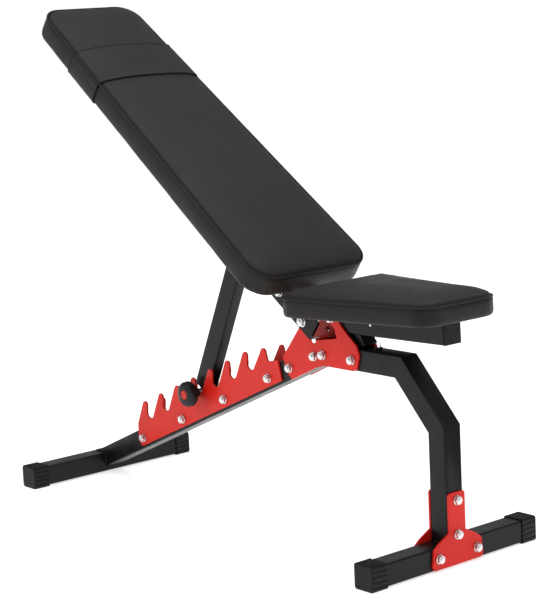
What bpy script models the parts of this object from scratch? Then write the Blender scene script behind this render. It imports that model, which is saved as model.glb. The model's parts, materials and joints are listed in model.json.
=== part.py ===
"""Adjustable weight bench: welded and bolted square-tube frame, red side plates,
ladder-adjusted backrest on a strut, tilting seat.  Metres, +Z up, +X towards the seat's front."""
from math import atan2, cos, pi, radians, sin, sqrt, tan

import bmesh
import bpy
from mathutils import Matrix, Vector

# ---------------------------------------------------------------- driving dimensions
GAP = 0.0003                 # clearance between touching pieces
TUBE = 0.050                 # main square tube
WALL = 0.002                 # tube wall
TUBE_R = 0.004               # tube corner radius
PLATE = 0.005                # red plates
CAP = 0.056                  # rubber end cap, outside
CAP_LEN = 0.045              # length of the cap along the foot
CAP_GROOVES = 4              # grooves on each side and the top of a cap
FOOT_HALF = 0.250            # half length of each foot over its caps
POST_X = 0.60982             # centre of the front post and front foot
REAR_X = POST_X - 1.245      # centre of the rear foot
CENTRE_SHIFT = -0.00975      # brings the bench over the middle of its box
FOOT_Z = CAP / 2             # centre height of both feet

POST_BEND_Z = 0.2963         # centre line height of the post's lower bend
TOP_X = POST_X - 0.110       # centre line of the post's upper bend
TOP_Z = 0.418                # centre line height of the post's level top section
JOINT_X = POST_X - 0.357     # where the post's top section meets the spine
SPINE_SLOPE = radians(23.5)  # spine angle above the floor

BOLT_R = 0.005               # shank radius of the M10 bolts
BOLT_HOLE_R = 0.0053
HEAD_R = 0.0098              # hexagon across corners, half
WASHER_R = 0.0105
SIDES = 14                   # facets of small round parts

SLOT_X = POST_X - 1.0057     # bottom of the first ladder slot
SLOT_Z = 0.1767
SLOT_DX = 0.06794            # step between ladder slots
SLOT_DZ = 0.02915
SLOT_R = 0.0135
SLOTS = 7
TOOTH_TOP = 0.0410           # tooth tip above its slot bottom
TOOTH_LEAN = -0.0206         # tooth tip behind its slot
TOOTH_R = 0.0092
USED_SLOT = 3                # slot that holds the strut's rod in this pose

ROD_R = 0.008                # strut cross rod
STOP_ROD_R = 0.007

PIVOT_X = POST_X - 0.397     # backrest pivot
PIVOT_Z = 0.4895
BACK_SLOPE = radians(35.56)  # backrest angle above the floor
ARM_T = 0.008
ARM_Y = TUBE / 2 + PLATE + 3 * GAP
ARM_LOW = -0.0193            # arm edges, measured square to the backrest from the pivot
ARM_HIGH = 0.0307
ARM_END = 0.041              # arm end past the pivot
ARM_TOP = -0.205
BACK_TUBE_W = 2 * (ARM_Y - GAP)
BACK_TUBE_FROM = -0.062
BACK_TUBE_TO = -0.930
BACK_PAD_BASE = 0.0429       # back face of the backrest pad above the pivot line
BACK_PAD_FROM = -0.0493      # lower end of the backrest pad
BACK_PAD_TO = -1.0838
BACK_PAD_HALF_LOW = 0.1727
BACK_PAD_HALF_TOP = 0.1403
BACK_PAD_SIDE = 0.0565       # height of the pad's side wall up to its piping
SLEEVE_FROM = -0.776         # lower edge of the head sleeve
SLEEVE_TO = -0.902           # upper edge of the head sleeve
SLEEVE_T = 0.003

STRUT_W = 0.050              # strut section in its plane
STRUT_Y = 0.030              # strut section across
HINGE_DROP = 0.032           # strut hinge below the backrest tube
ROD_SET = 0.0106             # cross rod in front of the strut's centre line

SEAT_PIVOT_X = POST_X - 0.310
SEAT_PIVOT_Z = 0.505
SEAT_TILT = radians(1.2)
BEAM_LOW = -0.0316           # underside of the seat beam, measured from the seat pivot
BEAM_FRONT = 0.340           # front end of the seat beam from the seat pivot
SEAT_BACK = -0.0340          # seat pad from the seat pivot
SEAT_FRONT = 0.3835
SEAT_HALF_BACK = 0.1675
SEAT_HALF_FRONT = 0.1125
SEAT_SIDE = 0.0430
PROP_X = 0.120               # seat prop from the seat pivot
PROP_R = 0.005

# ---------------------------------------------------------------- scene set-up
for old in list(bpy.data.objects):
    bpy.data.objects.remove(old, do_unlink=True)

bench = bpy.data.collections.new("adjustable_weight_bench")
bpy.context.scene.collection.children.link(bench)
tools = bpy.data.collections.new("cutters")
bpy.context.scene.collection.children.link(tools)


def material(name, color, metallic, roughness):
    mat = bpy.data.materials.new(name)
    mat.use_nodes = True
    shader = mat.node_tree.nodes["Principled BSDF"]
    shader.inputs["Base Color"].default_value = (*color, 1.0)
    shader.inputs["Metallic"].default_value = metallic
    shader.inputs["Roughness"].default_value = roughness
    return mat


LOOKS = {
    "black_frame": ((0.030, 0.030, 0.032), 0.3, 0.38),
    "red_plate": ((0.62, 0.035, 0.02), 0.2, 0.40),
    "vinyl": ((0.045, 0.043, 0.040), 0.0, 0.55),
    "rubber": ((0.035, 0.035, 0.037), 0.0, 0.60),
    "zinc": ((0.72, 0.72, 0.74), 1.0, 0.28),
    "chrome": ((0.80, 0.80, 0.82), 1.0, 0.12),
    "knob_plastic": ((0.03, 0.03, 0.032), 0.0, 0.40),
    "knob_red": ((0.60, 0.05, 0.03), 0.0, 0.35),
}


def empty(name, location, angle):
    node = bpy.data.objects.new(name, None)
    node.location = location
    node.rotation_euler = (0.0, angle, 0.0)
    bpy.context.scene.collection.objects.link(node)
    return node


backrest_axis = empty("backrest_axis", (PIVOT_X, 0.0, PIVOT_Z), BACK_SLOPE)
seat_axis = empty("seat_axis", (SEAT_PIVOT_X, 0.0, SEAT_PIVOT_Z), -SEAT_TILT)

rod_x = SLOT_X + USED_SLOT * SLOT_DX
rod_z = SLOT_Z + USED_SLOT * SLOT_DZ + ROD_R + GAP
hinge_local = Vector((-0.2778, 0.0, ARM_LOW - HINGE_DROP))
hinge_world = Matrix.Rotation(BACK_SLOPE, 3, "Y") @ hinge_local + Vector((PIVOT_X, 0.0, PIVOT_Z))
strut_angle = atan2(hinge_world.x - rod_x, hinge_world.z - rod_z)
STRUT_LEN = sqrt((hinge_world.x - rod_x) ** 2 + (hinge_world.z - rod_z) ** 2)
strut_axis = empty("strut_axis", hinge_world, strut_angle)
knob_axis = empty("knob_axis", (rod_x, 0.0, rod_z), 0.0)
prop_axis = empty("prop_axis", (0.0, 0.0, 0.0), 0.0)


# ---------------------------------------------------------------- building blocks
def add(name, bm, look, parent=None, smooth=None):
    """Turn a bmesh into a named object with its own material."""
    bmesh.ops.recalc_face_normals(bm, faces=bm.faces)
    mesh = bpy.data.meshes.new(name)
    bm.to_mesh(mesh)
    bm.free()
    obj = bpy.data.objects.new(name, mesh)
    bench.objects.link(obj)
    mesh.materials.append(material(name + "_" + look, *LOOKS[look]))
    if parent is not None:
        obj.parent = parent
    if smooth is not None:
        mesh.shade_smooth()
        mesh.set_sharp_from_angle(angle=radians(smooth))
    return obj


def cutter(bm, parent=None):
    bmesh.ops.recalc_face_normals(bm, faces=bm.faces)
    mesh = bpy.data.meshes.new("cutter")
    bm.to_mesh(mesh)
    bm.free()
    obj = bpy.data.objects.new("cutter", mesh)
    tools.objects.link(obj)
    obj.hide_render = True
    obj.display_type = "WIRE"
    if parent is not None:
        obj.parent = parent
    return obj


def cut(obj, tool, operation="DIFFERENCE"):
    mod = obj.modifiers.new("cut", "BOOLEAN")
    mod.operation = operation
    mod.solver = "EXACT"
    mod.object = tool


def box_bm(low, high):
    bm = bmesh.new()
    bmesh.ops.create_cube(bm, size=1.0)
    for vert in bm.verts:
        for axis in range(3):
            vert.co[axis] = low[axis] if vert.co[axis] < 0 else high[axis]
    return bm


def rod_bm(radius, start, end, sides=SIDES):
    """Cylinder between two points."""
    start = Vector(start)
    end = Vector(end)
    axis = end - start
    bm = bmesh.new()
    turn = axis.to_track_quat("Z", "Y").to_matrix().to_4x4()
    place = Matrix.Translation((start + end) / 2) @ turn
    bmesh.ops.create_cone(bm, cap_ends=True, segments=sides, radius1=radius, radius2=radius,
                          depth=axis.length, matrix=place)
    return bm


def round_section(half_w, half_y, radius, steps=3):
    """Points of a rounded rectangle, as (across, y) pairs."""
    if radius <= 0:
        return [(-half_w, -half_y), (half_w, -half_y), (half_w, half_y), (-half_w, half_y)]
    points = []
    for corner in range(4):
        cx = (half_w - radius) * (1 if corner in (0, 3) else -1)
        cy = (half_y - radius) * (1 if corner in (0, 1) else -1)
        for step in range(steps):
            angle = pi / 2 * (corner + step / (steps - 1))
            points.append((cx + radius * cos(angle), cy + radius * sin(angle)))
    return points


def tube_bm(path, width, depth, radius=TUBE_R, wall=WALL, cuts=(None, None)):
    """Square tube along a path in the XZ plane, mitred at its bends and open at its ends."""
    path = [Vector((x, 0.0, z)) for x, z in path]
    legs = [(b - a).normalized() for a, b in zip(path, path[1:])]
    rings = []
    bm = bmesh.new()
    sections = [round_section(width / 2, depth / 2, radius),
                round_section(width / 2 - wall, depth / 2 - wall, 0)]
    for section in sections:
        loops = []
        for index, point in enumerate(path):
            leg = legs[min(index, len(legs) - 1)]
            before = legs[max(index - 1, 0)]
            plane = (leg + before).normalized()
            if index == 0 and cuts[0] is not None:
                plane = Vector(cuts[0])
            if index == len(path) - 1 and cuts[1] is not None:
                plane = Vector(cuts[1])
            side = Vector((-leg.z, 0.0, leg.x))
            loop = []
            for across, y in section:
                base = side * across
                base -= leg * (base.dot(plane) / leg.dot(plane))
                loop.append(bm.verts.new(point + base + Vector((0.0, y, 0.0))))
            loops.append(loop)
        rings.append(loops)
    for loops in rings:
        for first, second in zip(loops, loops[1:]):
            count = len(first)
            for i in range(count):
                j = (i + 1) % count
                bm.faces.new((first[i], first[j], second[j], second[i]))
    for end in (0, -1):
        outer = rings[0][end]
        inner = rings[1][end]
        edges = []
        for loop in (outer, inner):
            for i in range(len(loop)):
                pair = (loop[i], loop[(i + 1) % len(loop)])
                edges.append(bm.edges.get(pair))
        bmesh.ops.triangle_fill(bm, use_beauty=True, edges=edges)
    return bm


def plate_bm(points, y0, y1, holes=()):
    """Flat plate in the XZ plane between two Y values, with round holes (x, z, radius)."""
    return flat_bm(points, holes, lambda a, b, level: Vector((a, y0 if level == 0 else y1, b)))


def flat_bm(points, holes, place):
    bm = bmesh.new()
    outlines = [list(points)]
    for cx, cz, radius in holes:
        ring = []
        for i in range(SIDES):
            angle = 2 * pi * i / SIDES
            ring.append((cx + radius * cos(angle), cz + radius * sin(angle)))
        outlines.append(ring)
    levels = []
    for level in (0, 1):
        edges = []
        loops = []
        for outline in outlines:
            verts = [bm.verts.new(place(a, b, level)) for a, b in outline]
            loops.append(verts)
            for i in range(len(verts)):
                edges.append(bm.edges.new((verts[i], verts[(i + 1) % len(verts)])))
        bmesh.ops.triangle_fill(bm, use_beauty=True, edges=edges)
        levels.append(loops)
    for low, high in zip(*levels):
        for i in range(len(low)):
            j = (i + 1) % len(low)
            bm.faces.new((low[i], low[j], high[j], high[i]))
    return bm


def lathe_bm(profile, origin, direction, sides=SIDES):
    """Solid of revolution: profile of (radius, distance) pairs along a direction."""
    bm = bmesh.new()
    turn = Vector(direction).to_track_quat("Z", "Y").to_matrix()
    rings = []
    for radius, along in profile:
        ring = []
        for i in range(sides):
            angle = 2 * pi * i / sides
            local = Vector((radius * cos(angle), radius * sin(angle), along))
            ring.append(bm.verts.new(turn @ local + Vector(origin)))
        rings.append(ring)
    for low, high in zip(rings, rings[1:]):
        for i in range(sides):
            j = (i + 1) % sides
            bm.faces.new((low[i], low[j], high[j], high[i]))
    bm.faces.new(rings[0])
    bm.faces.new(rings[-1])
    return bm


def bolt(name, centre, direction, grip, parent=None, shank=BOLT_R, head=HEAD_R, washer=WASHER_R):
    """Through bolt in one piece: washer and domed hexagon head on one side, nut on the other."""
    w = 0.0018
    half = grip / 2 + GAP
    six = head
    profile = []
    profile += [(0.0050, -half - w - 0.0095), (0.0050, -half - w - 0.0075)]
    profile += [(six * 0.90, -half - w - 0.0074), (six, -half - w - 0.0066)]
    profile += [(six, -half - w), (washer, -half - w), (washer, -half), (shank, -half)]
    profile += [(shank, half), (washer, half), (washer, half + w), (six, half + w)]
    profile += [(six, half + w + 0.0052), (six * 0.88, half + w + 0.0064)]
    bm = bmesh.new()
    turn = Vector(direction).to_track_quat("Z", "Y").to_matrix()
    rings = []
    count = 12
    for radius, along in profile:
        ring = []
        for i in range(count):
            angle = 2 * pi * i / count
            reach = radius
            if abs(radius - six) < 1e-9 and i % 2 == 1:
                reach = radius * cos(pi / 6)
            if abs(radius - six) > 1e-9 and radius in (six * 0.90, six * 0.88):
                reach = radius * 0.96
            local = Vector((reach * cos(angle), reach * sin(angle), along))
            ring.append(bm.verts.new(turn @ local + Vector(centre)))
        rings.append(ring)
    for low, high in zip(rings, rings[1:]):
        for i in range(count):
            j = (i + 1) % count
            bm.faces.new((low[i], low[j], high[j], high[i]))
    bm.faces.new(rings[0])
    bm.faces.new(rings[-1])
    return add(name, bm, "zinc", parent)


def drill(obj, holes, radius, span, axis="Y", parent=None):
    """Cut straight round holes right through an object, centred on the bench's middle plane."""
    for a, b in holes:
        if axis == "Y":
            tool = rod_bm(radius, (a, -span, b), (a, span, b))
        else:
            tool = rod_bm(radius, (POST_X - span, a, b), (POST_X + span, a, b))
        cut(obj, cutter(tool, parent))


# ---------------------------------------------------------------- feet and end caps
def cap_section(half, depth):
    """Rounded square with grooves down its sides and along its top, as (x, z) pairs."""
    flat = half - 0.005
    pitch = 2 * flat / CAP_GROOVES
    corners = round_section(half, half, 0.005)
    points = []
    for side in range(4):
        for groove in range(CAP_GROOVES if side < 3 else 0):
            middle = -flat + (groove + 0.5) * pitch
            for offset, inset in ((-0.0030, 0), (-0.0012, depth), (0.0012, depth), (0.0030, 0)):
                along = middle + offset
                points.append(((half - inset, along), (-along, half - inset), (inset - half, -along))[side])
        points += corners[3 * side:3 * side + 3]
    return points


def cap_bm(side):
    """Grooved cup that slips over the end of a foot tube."""
    full = CAP / 2
    mouth = FOOT_HALF - CAP_LEN
    stations = [(mouth, full, 0.0015), (FOOT_HALF - 0.0045, full, 0.0015), (FOOT_HALF - 0.0035, full, 0.0)]
    stations += [(FOOT_HALF - 0.0025, full, 0.0), (FOOT_HALF, full - 0.0025, 0.0)]
    bore = TUBE / 2 + GAP
    bottom = FOOT_HALF - 0.005
    bm = bmesh.new()
    loops = []
    for y, half, depth in stations:
        loops.append([bm.verts.new((a, side * y, b)) for a, b in cap_section(half, depth)])
    section = round_section(bore, bore, TUBE_R)
    inner = [[bm.verts.new((a, side * y, b)) for a, b in section] for y in (mouth, bottom)]
    for chain in (loops, inner):
        for low, high in zip(chain, chain[1:]):
            for i in range(len(low)):
                j = (i + 1) % len(low)
                bm.faces.new((low[i], low[j], high[j], high[i]))
    rim = []
    for loop in (loops[0], inner[0]):
        for i in range(len(loop)):
            rim.append(bm.edges.get((loop[i], loop[(i + 1) % len(loop)])))
    bmesh.ops.triangle_fill(bm, use_beauty=True, edges=rim)
    bm.faces.new(loops[-1])
    bm.faces.new(inner[-1])
    return bm


def foot(name, x):
    half = FOOT_HALF - 0.0053
    bm = tube_bm([(-half, 0.0), (half, 0.0)], TUBE, TUBE)
    bmesh.ops.rotate(bm, verts=bm.verts, cent=(0, 0, 0), matrix=Matrix.Rotation(pi / 2, 3, "Z"))
    tube = add(name + "_tube", bm, "black_frame", smooth=40)
    tube.location = (x, 0.0, FOOT_Z)
    for word, side in (("near", -1), ("far", 1)):
        end = add(name + "_cap_" + word, cap_bm(side), "rubber", smooth=50)
        end.location = (x, 0.0, FOOT_Z)
    return tube


front_foot = foot("front_foot", POST_X)
rear_foot = foot("rear_foot", REAR_X)

# ---------------------------------------------------------------- frame tubes
post_path = [(POST_X, FOOT_Z + TUBE / 2 + GAP), (POST_X, POST_BEND_Z), (TOP_X, TOP_Z),
             (JOINT_X + GAP / 2, TOP_Z)]
front_post = add("front_post", tube_bm(post_path, TUBE, TUBE), "black_frame", smooth=40)


def spine_point(x):
    """Height of the spine's centre line at a given X."""
    return TOP_Z + tan(SPINE_SLOPE) * (x - JOINT_X)


spine_end = REAR_X - 0.0145
spine_path = [(spine_end, spine_point(spine_end)), (JOINT_X - GAP / 2, spine_point(JOINT_X - GAP / 2))]
spine = add("spine_tube", tube_bm(spine_path, TUBE, TUBE, cuts=((1, 0, 0), (1, 0, 0))),
            "black_frame", smooth=40)
saddle_top = FOOT_Z + TUBE / 2 + GAP
cut(spine, cutter(box_bm((REAR_X - 0.12, -0.1, -0.05), (REAR_X + TUBE / 2 + GAP, 0.1, saddle_top))))

# ---------------------------------------------------------------- T-plates at the front foot
T_HALF = [(0.025, 0.158), (0.025, 0.0775), (0.056, 0.0615), (0.072, 0.0495), (0.077, 0.014), (0.070, 0.005)]
t_outline = [(0.020, 0.163)] + T_HALF
t_outline += [(-y, z) for y, z in reversed(t_outline)]
T_BOLTS = [(0.0, 0.1454), (0.0, 0.0702), (-0.057, 0.029), (0.057, 0.029)]


def t_plate(name, x0, x1):
    def place(a, b, level):
        return Vector((POST_X + (x0 if level == 0 else x1), a, b))
    holes = [(y, z, BOLT_HOLE_R) for y, z in T_BOLTS]
    return add(name, flat_bm(t_outline, holes, place), "red_plate")


t_plate("front_t_plate", TUBE / 2 + GAP, TUBE / 2 + GAP + PLATE)
t_plate("rear_t_plate", -TUBE / 2 - GAP, -TUBE / 2 - GAP - PLATE)
for number, (y, z) in enumerate(T_BOLTS):
    word = ("post_upper", "post_lower", "foot_near", "foot_far")[number]
    target = front_post if number < 2 else front_foot
    if number < 2:
        drill(target, [(y, z)], BOLT_HOLE_R, 0.06, axis="X")
    else:
        tool = rod_bm(BOLT_HOLE_R, (POST_X - 0.06, y, z), (POST_X + 0.06, y, z))
        cut(target, cutter(tool))
    bolt("t_plate_bolt_" + word, (POST_X, y, z), (-1, 0, 0), TUBE + 2 * PLATE + 2 * GAP)

# ---------------------------------------------------------------- ladder plates
def arc(cx, cz, radius, start, end, steps):
    """Points on an arc, angles in degrees."""
    points = []
    for i in range(steps + 1):
        angle = radians(start + (end - start) * i / steps)
        points.append((cx + radius * cos(angle), cz + radius * sin(angle)))
    return points


def ladder_outline():
    points = [(POST_X - 1.0605, 0.112), (POST_X - 1.0605, 0.1560)]
    for k in range(SLOTS + 1):
        sx = SLOT_X + k * SLOT_DX
        sz = SLOT_Z + k * SLOT_DZ
        tip_x = sx + TOOTH_LEAN
        tip_z = sz + TOOTH_TOP - TOOTH_R
        if k == SLOTS:
            tip_z -= 0.013
        points += arc(tip_x, tip_z, TOOTH_R, 160, -4, 6)
        if k < SLOTS:
            points += arc(sx, sz + SLOT_R, SLOT_R, 184, 344, 6)
        else:
            points += arc(sx - 0.0015, sz + 0.006, 0.006, 184, 275, 3)
    points += [(POST_X - 0.5030, 0.3870), (POST_X - 0.4990, 0.3845), (POST_X - 0.4895, 0.3425)]
    points += [(POST_X - 0.4925, 0.3388), (POST_X - 1.0440, 0.1000), (POST_X - 1.0490, 0.1000)]
    return points


LADDER_BOLTS = [POST_X - 1.040 + 0.168 * i for i in range(4)]
ladder_bolts = [(x, spine_point(x)) for x in LADDER_BOLTS]
JUNCTION_SPINE_X = [POST_X - 0.458, POST_X - 0.372]
JUNCTION_POST_X = [POST_X - 0.343, POST_X - 0.248]
junction_bolts = [(x, spine_point(x)) for x in JUNCTION_SPINE_X] + [(x, TOP_Z) for x in JUNCTION_POST_X]
inner_y = TUBE / 2 + GAP

for word, side in (("near", -1), ("far", 1)):
    holes = [(x, z, BOLT_HOLE_R) for x, z in ladder_bolts]
    bm = plate_bm(ladder_outline(), side * inner_y, side * (inner_y + PLATE), holes)
    add("ladder_plate_" + word, bm, "red_plate")

# ---------------------------------------------------------------- junction plates
stop_x = POST_X - 0.371
stop_z = 0.4478
FAR_HOLES = [(POST_X - 0.3845, 0.4640), (POST_X - 0.3520, 0.4660)]


def junction_outline(notched):
    x = POST_X
    points = [(x - 0.4798, 0.3985), (x - 0.4690, 0.3640), (x - 0.4530, 0.3495), (x - 0.4480, 0.3500)]
    points += [(x - 0.3670, 0.3865), (x - 0.3400, 0.3935), (x - 0.2440, 0.3935), (x - 0.2330, 0.3985)]
    points += [(x - 0.2240, 0.4300), (x - 0.2320, 0.4515), (x - 0.2660, 0.4790)]
    points += arc(SEAT_PIVOT_X, SEAT_PIVOT_Z, 0.014, 15, 195, 8)
    if notched:
        points += [(x - 0.3000, 0.4820), (x - 0.2940, 0.4605)]
        points += [(stop_x + 0.0082, stop_z + 0.0012)]
        points += arc(stop_x, stop_z, STOP_ROD_R + GAP, 0, -180, 8)
        points += [(x - 0.3800, 0.4700)]
        points += arc(PIVOT_X, PIVOT_Z, 0.017, -20, 205, 10)
    else:
        points += arc(PIVOT_X, PIVOT_Z, 0.017, 60, 205, 7)
    points += [(x - 0.4195, 0.4715)]
    return points


for word, side in (("near", -1), ("far", 1)):
    holes = [(x, z, BOLT_HOLE_R) for x, z in junction_bolts]
    holes += [(PIVOT_X, PIVOT_Z, 0.0063), (SEAT_PIVOT_X, SEAT_PIVOT_Z, BOLT_HOLE_R)]
    if side > 0:
        holes += [(stop_x, stop_z, STOP_ROD_R + GAP)]
        holes += [(x, z, 0.0055) for x, z in FAR_HOLES]
    bm = plate_bm(junction_outline(side < 0), side * inner_y, side * (inner_y + PLATE), holes)
    add("junction_plate_" + word, bm, "red_plate")

stop_half = inner_y + PLATE - GAP
stop_profile = [(0.006, -stop_half), (STOP_ROD_R, -stop_half + 0.001)]
stop_profile += [(STOP_ROD_R, stop_half - 0.001), (0.006, stop_half)]
add("stop_rod", lathe_bm(stop_profile, (stop_x, 0.0, stop_z), (0, 1, 0), 24), "chrome", smooth=40)

drill(spine, ladder_bolts, BOLT_HOLE_R, 0.06)
drill(spine, junction_bolts[:2], BOLT_HOLE_R, 0.06)
drill(front_post, junction_bolts[2:], BOLT_HOLE_R, 0.06)
plate_grip = TUBE + 2 * PLATE + 2 * GAP
for number, (x, z) in enumerate(ladder_bolts):
    bolt("ladder_bolt_%d" % (number + 1), (x, 0.0, z), (0, 1, 0), plate_grip)
for number, (x, z) in enumerate(junction_bolts):
    bolt("junction_bolt_%d" % (number + 1), (x, 0.0, z), (0, 1, 0), plate_grip)

# ---------------------------------------------------------------- backrest frame
# In the backrest's own axes X runs down the backrest and Z stands square to it.
back_mid = (ARM_LOW + ARM_HIGH) / 2
back_tube = add("backrest_tube",
                tube_bm([(BACK_TUBE_TO, back_mid), (BACK_TUBE_FROM, back_mid)], TUBE, BACK_TUBE_W),
                "black_frame", backrest_axis, smooth=40)
ARM_BOLTS = [(-0.095, back_mid), (-0.175, back_mid)]
arm_points = [(ARM_END, ARM_LOW), (ARM_END, ARM_HIGH), (ARM_TOP + 0.02, ARM_HIGH),
              (ARM_TOP, ARM_HIGH - 0.02), (ARM_TOP, ARM_LOW + 0.01), (ARM_TOP + 0.01, ARM_LOW)]
for word, side in (("near", -1), ("far", 1)):
    holes = [(x, z, BOLT_HOLE_R) for x, z in ARM_BOLTS] + [(0.0, 0.0, 0.0063)]
    bm = plate_bm(arm_points, side * ARM_Y, side * (ARM_Y + ARM_T), holes)
    add("backrest_arm_" + word, bm, "black_frame", backrest_axis)
drill(back_tube, ARM_BOLTS, BOLT_HOLE_R, 0.06, parent=backrest_axis)
arm_grip = 2 * (ARM_Y + ARM_T)
for number, (x, z) in enumerate(ARM_BOLTS):
    bolt("backrest_arm_bolt_%d" % (number + 1), (x, 0.0, z), (0, 1, 0), arm_grip, backrest_axis)
bolt("backrest_pivot_bolt", (PIVOT_X, 0.0, PIVOT_Z), (0, 1, 0), arm_grip, None, 0.006, 0.0110, 0.0125)

plug_half = TUBE / 2
plug = box_bm((BACK_TUBE_TO - 0.004 - GAP, -BACK_TUBE_W / 2, back_mid - plug_half),
              (BACK_TUBE_TO - GAP, BACK_TUBE_W / 2, back_mid + plug_half))
add("backrest_tube_plug", plug, "rubber", backrest_axis)

RAIL_X = (-0.240, -0.725)
RAIL_HALF = (0.130, 0.115)
for number, (x, half) in enumerate(zip(RAIL_X, RAIL_HALF)):
    bm = box_bm((x - 0.020, -half, ARM_HIGH + GAP), (x + 0.020, half, BACK_PAD_BASE - GAP))
    add("pad_rail_" + ("lower", "upper")[number], bm, "black_frame", backrest_axis)


# ---------------------------------------------------------------- cushions
def cushion_outline(x_low, x_high, half_low, half_high, r_low, r_high, inset):
    """Tapered plan with rounded corners; inset moves every side inwards."""
    x_low += inset
    x_high -= inset
    half_low -= inset
    half_high -= inset
    points = []
    corners = [(x_high, half_high, r_high, 0), (x_low, half_low, r_low, 90),
               (x_low, -half_low, r_low, 180), (x_high, -half_high, r_high, 270)]
    slant = (half_low - half_high) / (x_high - x_low)
    for cx, cy, radius, start in corners:
        radius = max(radius - inset, 0.004)
        end = start + 90
        sx = -1 if cx > 0.5 * (x_low + x_high) else 1
        sy = -1 if cy > 0 else 1
        mid_x = cx + sx * radius
        mid_y = cy + sy * radius * (1 + slant * sx)
        for step in range(9):
            angle = radians(start + (end - start) * step / 8)
            points.append((mid_x + radius * cos(angle), mid_y + radius * sin(angle)))
    return points


def cushion_bm(plan, base, side, crown, grow=0.0):
    """Closed cushion: soft lower edge, straight side, piping line and low domed face."""
    levels = [(0.012, 0.0), (0.003, 0.002), (0.0, 0.008), (0.0, side - 0.004), (0.003, side)]
    levels += [(0.012, side + crown * 0.45), (0.030, side + crown * 0.8), (0.055, side + crown)]
    bm = bmesh.new()
    loops = []
    for index, (inset, height) in enumerate(levels):
        lift = -grow if index == 0 else (grow if index > 4 else 0.0)
        outline = cushion_outline(*plan, inset - grow)
        loops.append([bm.verts.new((x, y, base + height + lift)) for x, y in outline])
    for low, high in zip(loops, loops[1:]):
        for i in range(len(low)):
            j = (i + 1) % len(low)
            bm.faces.new((low[i], low[j], high[j], high[i]))
    bm.faces.new(loops[0])
    bm.faces.new(loops[-1])
    return bm


back_plan = (BACK_PAD_TO, BACK_PAD_FROM, BACK_PAD_HALF_TOP, BACK_PAD_HALF_LOW, 0.055, 0.060)
add("backrest_pad", cushion_bm(back_plan, BACK_PAD_BASE, BACK_PAD_SIDE, 0.011), "vinyl",
    backrest_axis, smooth=40)
sleeve = add("head_sleeve", cushion_bm(back_plan, BACK_PAD_BASE, BACK_PAD_SIDE, 0.011, SLEEVE_T),
             "vinyl", backrest_axis, smooth=40)
cut(sleeve, cutter(cushion_bm(back_plan, BACK_PAD_BASE, BACK_PAD_SIDE, 0.011, GAP), backrest_axis))
cut(sleeve, cutter(box_bm((SLEEVE_TO, -0.3, -0.2), (SLEEVE_FROM, 0.3, 0.3)), backrest_axis), "INTERSECT")

# ---------------------------------------------------------------- strut
bracket_points = [(-0.030, -0.0043), (0.030, -0.0043), (0.030, -0.012), (0.014, -HINGE_DROP - 0.010),
                  (0.008, -HINGE_DROP - 0.014), (-0.008, -HINGE_DROP - 0.014),
                  (-0.014, -HINGE_DROP - 0.010), (-0.030, -0.012)]
ear_y = STRUT_Y / 2 + GAP
hx = hinge_local.x
hz = ARM_LOW
bracket = add("strut_bracket",
              box_bm((hx - 0.030, -ear_y - 0.004, hz - GAP - 0.004), (hx + 0.030, ear_y + 0.004, hz - GAP)),
              "black_frame", backrest_axis)
for side in (-1, 1):
    ear = [(hx + a, hz + b + 0.002) if b > -0.005 else (hx + a, hz + b) for a, b in bracket_points]
    tool = cutter(plate_bm(ear, side * ear_y, side * (ear_y + 0.004)), backrest_axis)
    cut(bracket, tool, "UNION")
drill(bracket, [(hx, hinge_local.z)], BOLT_HOLE_R, 0.04, parent=backrest_axis)
bolt("strut_hinge_bolt", (hx, 0.0, hinge_local.z), (0, 1, 0), 2 * (ear_y + 0.004), backrest_axis)

strut_lean = ROD_SET / STRUT_LEN
strut_ends = [(strut_lean * z, z) for z in (0.0024 - STRUT_LEN, 0.014)]
strut = add("strut_tube", tube_bm(strut_ends, STRUT_W, STRUT_Y, radius=0.003),
            "black_frame", strut_axis, smooth=40)
drill(strut, [(0.0, 0.0)], BOLT_HOLE_R, 0.04, parent=strut_axis)
drill(strut, [(0.0, -STRUT_LEN)], ROD_R + GAP, 0.04, parent=strut_axis)

fill_w = STRUT_W / 2 - WALL - GAP
lug_y = STRUT_Y / 2 - WALL - GAP
lug_low = 0.004 - STRUT_LEN
lug_high = 0.045 - STRUT_LEN
lug_points = [(strut_lean * lug_high - fill_w, lug_high), (strut_lean * lug_low - fill_w, lug_low)]
lug_points += arc(0.0, -STRUT_LEN, 0.012, 190, 350, 8)
lug_points += [(strut_lean * lug_low + fill_w, lug_low), (strut_lean * lug_high + fill_w, lug_high)]
lug = plate_bm(lug_points, -lug_y, lug_y, [(0.0, -STRUT_LEN, ROD_R + GAP)])
add("strut_end_lug", lug, "zinc", strut_axis)

rod_near = inner_y + PLATE + 0.018
rod_far = inner_y + PLATE + 0.003
rod_profile = [(0.0110, -rod_far - 0.008), (0.0120, -rod_far - 0.007), (0.0120, -rod_far)]
rod_profile += [(ROD_R, -rod_far), (ROD_R, rod_near - 0.001), (ROD_R - 0.001, rod_near)]
rod = lathe_bm(rod_profile, (rod_x, 0.0, rod_z), (0, -1, 0), 24)
add("strut_cross_rod", rod, "chrome", smooth=40)

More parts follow.
